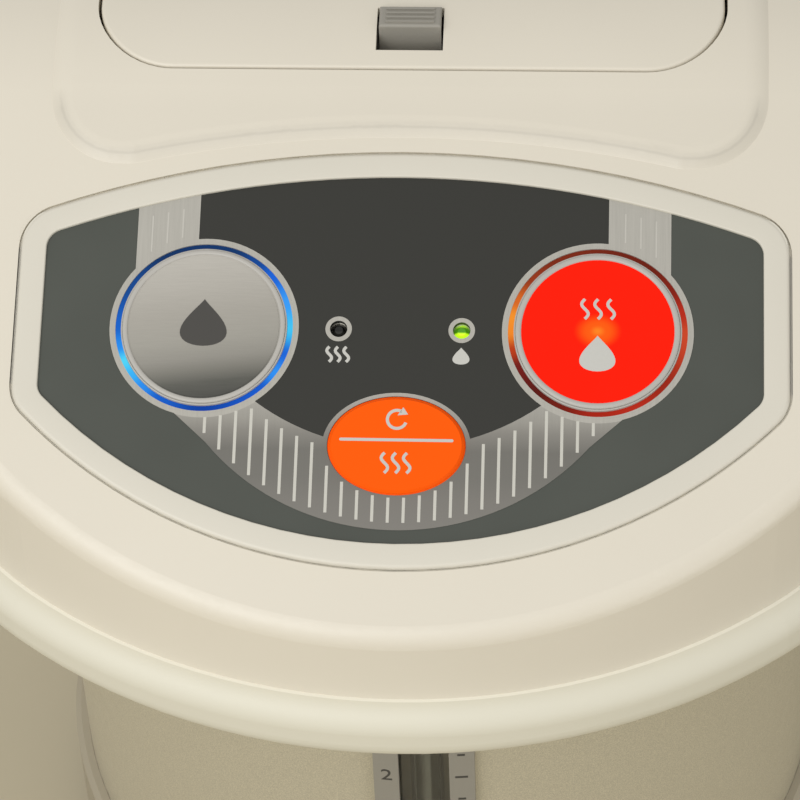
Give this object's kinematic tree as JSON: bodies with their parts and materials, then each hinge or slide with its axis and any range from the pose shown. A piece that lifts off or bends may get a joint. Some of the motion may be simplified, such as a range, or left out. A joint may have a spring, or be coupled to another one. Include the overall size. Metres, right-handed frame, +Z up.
{
  "type": "hot water dispenser",
  "caption": "Countertop hot water dispenser: round body on a swivel base, tilted head with lit round pour buttons, hinged lid, folding handle and a beak with spouts over the cup.",
  "frame": {"origin": "where the vertical axis of the round body, which is also the swivel's axis, meets the table", "axes": "+X to the right seen from the front (hot side), +Y to the back (lid hinge and inlet), +Z up; the spouts and the tilted panel face -Y"},
  "size_m": [0.2316, 0.3086, 0.3367],
  "materials": {
    "cream_plastic": "satin moulded, warm cream",
    "body_paint": "satin champagne lacquer on rolled sheet",
    "grey_plastic": "fine moulded grain, warm grey",
    "dark_plastic": "fine moulded grain, near black",
    "white_plastic": "moulded, off white",
    "rotor_plastic": "moulded, dark, magnet filled",
    "clear_plastic": "clear moulded window",
    "clear_glass": "clear drawn tube",
    "black_rubber": "moulded rubber",
    "silicone": "translucent grey silicone",
    "pot_steel": "deep drawn, fine grain",
    "tube_steel": "bent tube, drawn",
    "heater_aluminium": "cast, as cast",
    "mica_band": "thin steel band over mica",
    "thermostat_body": "ceramic case",
    "felt": "needled heat felt",
    "motor_steel": "drawn can",
    "brass_pins": "turned, plated",
    "screw_steel": "zinc plated",
    "board_laminate": "green solder mask",
    "power_parts_mix": "moulded cases of transformer, relay and capacitors",
    "wire_cover": "grey sleeve",
    "label_print": "charcoal printed film, two tones",
    "silver_film": "vertical brushed silver film",
    "button_metal": "brushed face",
    "blue_light": "milky light guide, lit blue",
    "red_light": "milky light guide, lit red",
    "hot_face": "glossy lens, glows red to orange",
    "orange_plastic": "glossy orange",
    "lamp_dark": "tinted lens, unlit",
    "lamp_green": "tinted lens, lit"
  },
  "bodies": {
    "base": {"swivel_plate": "dark_plastic", "feet": "black_rubber", "swivel_clip": "dark_plastic"},
    "dispenser": {"base_pan": "grey_plastic", "glide_pads": "white_plastic", "inlet_socket": "dark_plastic", "inlet_pins": "brass_pins", "body_shell": "body_paint", "gauge_frame": "grey_plastic", "gauge_window": "clear_plastic", "gauge_tube": "clear_glass", "gauge_seals": "silicone", "inner_pot": "pot_steel", "pot_neck": "pot_steel", "heater_plate": "heater_aluminium", "band_heater": "mica_band", "thermostat": "thermostat_body", "insulation_jacket": "felt", "pot_gasket": "silicone", "mouth_ring": "white_plastic", "pump_housings": "white_plastic", "pump_motors": "motor_steel", "pump_hoses": "silicone", "cooling_loop": "tube_steel", "warm_riser": "tube_steel", "hot_riser": "tube_steel", "tip_valves": "white_plastic", "spout_elbows": "silicone", "spouts": "white_plastic", "spout_housing": "cream_plastic", "collar": "cream_plastic", "head_cover": "cream_plastic", "hinge_pin": "tube_steel", "handle_pins": "grey_plastic", "bezel": "cream_plastic", "label_plate": "label_print", "silver_foil": "silver_film", "warm_light_ring": "blue_light", "hot_light_ring": "red_light", "keypad_mat": "silicone", "control_board": "board_laminate", "switches": "dark_plastic", "board_screws": "screw_steel", "led_left": "lamp_dark", "led_right": "lamp_green", "power_board": "board_laminate", "power_parts": "power_parts_mix", "wire_harness": "wire_cover"},
    "hot_rotor": {"hot_impeller": "rotor_plastic"},
    "warm_rotor": {"warm_impeller": "rotor_plastic"},
    "warm_key": {"warm_button": "button_metal"},
    "hot_key": {"hot_button": "button_metal", "hot_lens": "hot_face"},
    "reboil_key": {"reboil_button": "orange_plastic"},
    "lid": {"lid_cover": "cream_plastic", "lid_inner": "white_plastic", "lid_gasket": "silicone", "steam_cap": "grey_plastic"},
    "lock": {"lid_lock": "grey_plastic"},
    "handle_body": {"handle": "cream_plastic"}
  },
  "joints": [
    {"name": "swivel", "type": "hinge", "parent": "base", "child": "dispenser", "pos_m": [0, 0, 0.009], "axis": [0, 0, 1], "continuous": true},
    {"name": "hot_pump_spin", "type": "hinge", "parent": "dispenser", "child": "hot_rotor", "pos_m": [0.028, -0.03, 0.041], "axis": [0, 0, 1], "continuous": true},
    {"name": "warm_pump_spin", "type": "hinge", "parent": "dispenser", "child": "warm_rotor", "pos_m": [-0.028, -0.03, 0.041], "axis": [0, 0, 1], "continuous": true},
    {"name": "warm_press", "type": "slide", "parent": "dispenser", "child": "warm_key", "axis": [0, 0.3649, -0.9311], "range_m": [0, 0.002], "stiffness_N_per_m": 500, "springref_m": -0.001, "deforming": ["keypad_mat"]},
    {"name": "hot_press", "type": "slide", "parent": "dispenser", "child": "hot_key", "axis": [0, 0.3649, -0.9311], "range_m": [0, 0.002], "stiffness_N_per_m": 500, "springref_m": -0.001, "deforming": ["keypad_mat"]},
    {"name": "reboil_press", "type": "slide", "parent": "dispenser", "child": "reboil_key", "axis": [0, 0.3649, -0.9311], "range_m": [0, 0.002], "stiffness_N_per_m": 500, "springref_m": -0.001, "deforming": ["keypad_mat"]},
    {"name": "lid_hinge", "type": "hinge", "parent": "dispenser", "child": "lid", "pos_m": [0, 0.076, 0.3295], "axis": [-1, 0, 0], "range_deg": [0, 95]},
    {"name": "lid_lock_slide", "type": "slide", "parent": "lid", "child": "lock", "axis": [0, -1, 0], "range_m": [0, 0.004]},
    {"name": "handle_hinge", "type": "hinge", "parent": "dispenser", "child": "handle_body", "pos_m": [0, 0, 0.283], "axis": [1, 0, 0], "range_deg": [0, 90]}
  ]
}
